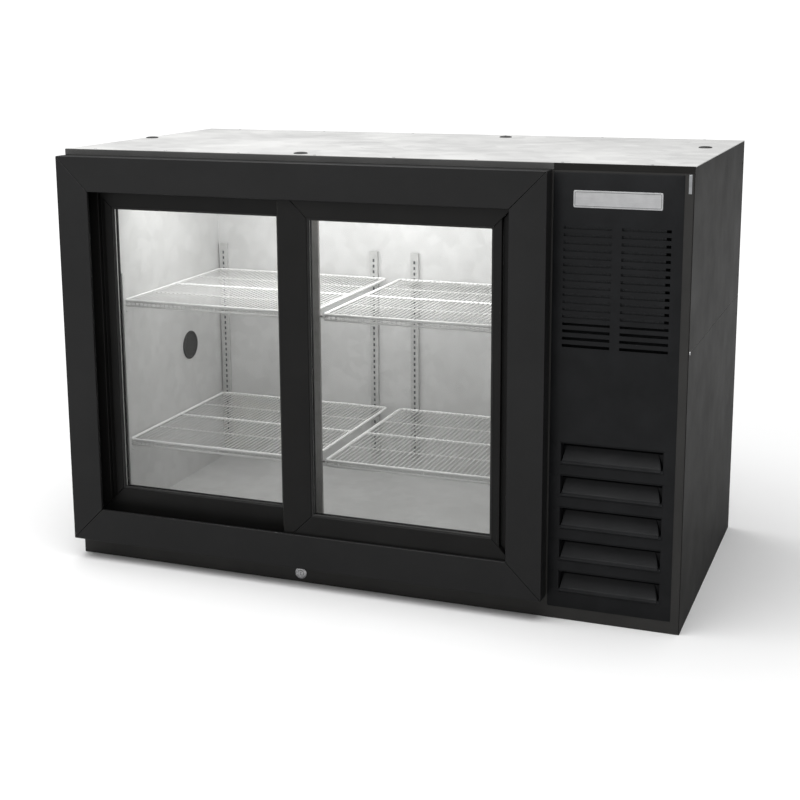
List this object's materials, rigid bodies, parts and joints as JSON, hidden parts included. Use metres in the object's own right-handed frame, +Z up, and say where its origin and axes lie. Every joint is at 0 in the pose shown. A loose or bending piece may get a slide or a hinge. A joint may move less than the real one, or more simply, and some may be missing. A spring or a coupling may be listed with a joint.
{
  "type": "under counter fridge",
  "caption": "Under-counter back-bar refrigerator with sliding glass doors, wire shelves and a side machine bay behind a louvred grille.",
  "frame": {"origin": "middle of the cabinet footprint, door surround included, at floor level", "axes": "+X to the right seen from the front, +Y from the doors towards the back, +Z up"},
  "size_m": [1.219, 0.636, 0.826],
  "materials": {
    "black_powder_coat": "satin powder coat, fine texture",
    "black_moulding": "textured moulded black plastic",
    "galvanised_steel": "galvanised and brushed sheet",
    "white_epoxy": "white epoxy coated wire",
    "foam": "rigid polyurethane foam",
    "door_glass": "clear double glazing",
    "black_rubber": "matt rubber",
    "white_nylon": "machined nylon",
    "lock_chrome": "bright chrome",
    "satin_plate": "satin brushed plate",
    "machine_grey": "grey painted steel",
    "fin_aluminium": "bare aluminium fins",
    "fan_aluminium": "stamped aluminium",
    "pan_plastic": "black moulded pan",
    "compressor_enamel": "black enamel"
  },
  "bodies": {
    "cabinet": {"back_panel": "black_powder_coat", "back_pilaster_middle_left": "galvanised_steel", "back_pilaster_middle_right": "galvanised_steel", "back_pilaster_outer_left": "galvanised_steel", "back_pilaster_outer_right": "galvanised_steel", "base_pan": "galvanised_steel", "compressor": "compressor_enamel", "condensate_pan": "pan_plastic", "condenser_coil": "fin_aluminium", "condenser_fan_motor": "machine_grey", "cord_gland": "black_rubber", "evaporator_coil": "fin_aluminium", "evaporator_cover": "galvanised_steel", "evaporator_fan_motor": "machine_grey", "face_frame": "black_powder_coat", "foam_insulation": "foam", "front_grille": "black_moulding", "front_pilaster_left": "galvanised_steel", "front_pilaster_right": "galvanised_steel", "front_post": "galvanised_steel", "inner_liner": "galvanised_steel", "left_side_panel": "black_powder_coat", "line_entry_plug": "black_rubber", "lock_barrel": "lock_chrome", "lower_track": "black_powder_coat", "nameplate": "satin_plate", "rear_vent_panel": "black_powder_coat", "right_panel_lower": "black_powder_coat", "right_panel_upper": "black_powder_coat", "surround_bottom": "black_powder_coat", "surround_left": "black_powder_coat", "surround_right": "black_powder_coat", "surround_top": "black_powder_coat", "top_panel": "galvanised_steel", "upper_track": "black_powder_coat"},
    "front_door": {"front_door_bottom_rail": "black_powder_coat", "front_door_glass": "door_glass", "front_door_glazing_bead": "black_rubber", "front_door_left_stile": "black_powder_coat", "front_door_right_stile": "black_powder_coat", "front_door_top_rail": "black_powder_coat", "door_meeting_seal": "black_rubber"},
    "back_door": {"back_door_bottom_rail": "black_powder_coat", "back_door_glass": "door_glass", "back_door_glazing_bead": "black_rubber", "back_door_left_stile": "black_powder_coat", "back_door_right_stile": "black_powder_coat", "back_door_top_rail": "black_powder_coat"},
    "front_door_roller_left": {"front_door_roller_left": "white_nylon"},
    "front_door_roller_right": {"front_door_roller_right": "white_nylon"},
    "back_door_roller_left": {"back_door_roller_left": "white_nylon"},
    "back_door_roller_right": {"back_door_roller_right": "white_nylon"},
    "shelf_lower_left": {"shelf_lower_left": "white_epoxy"},
    "shelf_lower_right": {"shelf_lower_right": "white_epoxy"},
    "shelf_upper_left": {"shelf_upper_left": "white_epoxy"},
    "shelf_upper_right": {"shelf_upper_right": "white_epoxy"},
    "lock_plug": {"lock_plug": "lock_chrome"},
    "thermostat_knob": {"thermostat_knob": "black_rubber"},
    "condenser_fan": {"condenser_fan": "fan_aluminium"},
    "evaporator_fan": {"evaporator_fan": "fan_aluminium"}
  },
  "joints": [
    {"name": "front_door_slide", "type": "slide", "parent": "cabinet", "child": "front_door", "axis": [-1, 0, 0], "range_m": [0, 0.427]},
    {"name": "back_door_slide", "type": "slide", "parent": "cabinet", "child": "back_door", "axis": [1, 0, 0], "range_m": [0, 0.427]},
    {"name": "front_door_roller_left_turn", "type": "hinge", "parent": "front_door", "child": "front_door_roller_left", "pos_m": [-0.0685, -0.297, 0.0936], "axis": [0, -1, 0], "continuous": true},
    {"name": "front_door_roller_right_turn", "type": "hinge", "parent": "front_door", "child": "front_door_roller_right", "pos_m": [0.2535, -0.297, 0.0936], "axis": [0, -1, 0], "continuous": true},
    {"name": "back_door_roller_left_turn", "type": "hinge", "parent": "back_door", "child": "back_door_roller_left", "pos_m": [-0.4965, -0.267, 0.0936], "axis": [0, 1, 0], "continuous": true},
    {"name": "back_door_roller_right_turn", "type": "hinge", "parent": "back_door", "child": "back_door_roller_right", "pos_m": [-0.1745, -0.267, 0.0936], "axis": [0, 1, 0], "continuous": true},
    {"name": "shelf_lower_left_lift", "type": "slide", "parent": "cabinet", "child": "shelf_lower_left", "axis": [0, 0, 1], "range_m": [0, 0.08]},
    {"name": "shelf_lower_right_lift", "type": "slide", "parent": "cabinet", "child": "shelf_lower_right", "axis": [0, 0, 1], "range_m": [0, 0.08]},
    {"name": "shelf_upper_left_lift", "type": "slide", "parent": "cabinet", "child": "shelf_upper_left", "axis": [0, 0, 1], "range_m": [0, 0.08]},
    {"name": "shelf_upper_right_lift", "type": "slide", "parent": "cabinet", "child": "shelf_upper_right", "axis": [0, 0, 1], "range_m": [0, 0.08]},
    {"name": "lock_turn", "type": "hinge", "parent": "cabinet", "child": "lock_plug", "pos_m": [-0.1215, -0.282, 0.0185], "axis": [0, -1, 0], "range_deg": [0, 90]},
    {"name": "thermostat_turn", "type": "hinge", "parent": "cabinet", "child": "thermostat_knob", "pos_m": [0.3084, 0.163, 0.617], "axis": [-1, 0, 0], "range_deg": [-135, 135]},
    {"name": "condenser_fan_spin", "type": "hinge", "parent": "cabinet", "child": "condenser_fan", "pos_m": [0.48875, -0.17, 0.179], "axis": [0, 1, 0], "continuous": true},
    {"name": "evaporator_fan_spin", "type": "hinge", "parent": "cabinet", "child": "evaporator_fan", "pos_m": [0.3295, 0.069, 0.682], "axis": [-1, 0, 0], "continuous": true}
  ],
  "couplings": [
    {"joint": "front_door_roller_left_turn", "follows": "front_door_slide", "rad_per_m": 142.86},
    {"joint": "front_door_roller_right_turn", "follows": "front_door_slide", "rad_per_m": 142.86},
    {"joint": "back_door_roller_left_turn", "follows": "back_door_slide", "rad_per_m": 142.86},
    {"joint": "back_door_roller_right_turn", "follows": "back_door_slide", "rad_per_m": 142.86}
  ]
}
